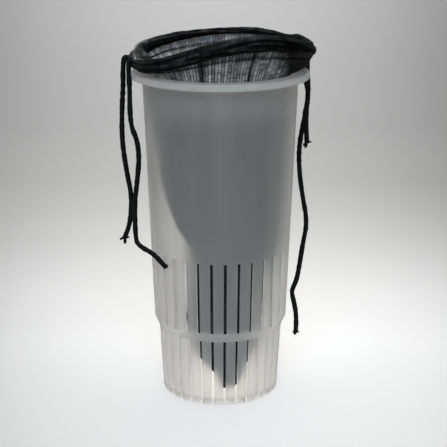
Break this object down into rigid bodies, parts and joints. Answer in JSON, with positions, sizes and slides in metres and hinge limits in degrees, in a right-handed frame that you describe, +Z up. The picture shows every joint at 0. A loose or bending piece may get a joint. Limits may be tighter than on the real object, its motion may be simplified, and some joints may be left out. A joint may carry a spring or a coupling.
{
  "type": "hydroponic net pot",
  "caption": "Tall frosted plastic net pot with two tiers of vertical slots, lined with a black drawstring mesh bag whose cords hang outside.",
  "frame": {"origin": "on the pot's axis at the underside of its foot", "axes": "+Z up the pot's axis towards its mouth, -Y to the front, +X to the right seen from the front"},
  "size_m": [0.1261, 0.114, 0.2423],
  "materials": {
    "frosted_plastic": "frosted, translucent",
    "black_mesh": "open knit",
    "black_cord": "braided"
  },
  "bodies": {
    "root": {"pot": "frosted_plastic", "mesh_bag": "black_mesh", "left_drawcord": "black_cord", "right_drawcord": "black_cord"}
  },
  "joints": []
}
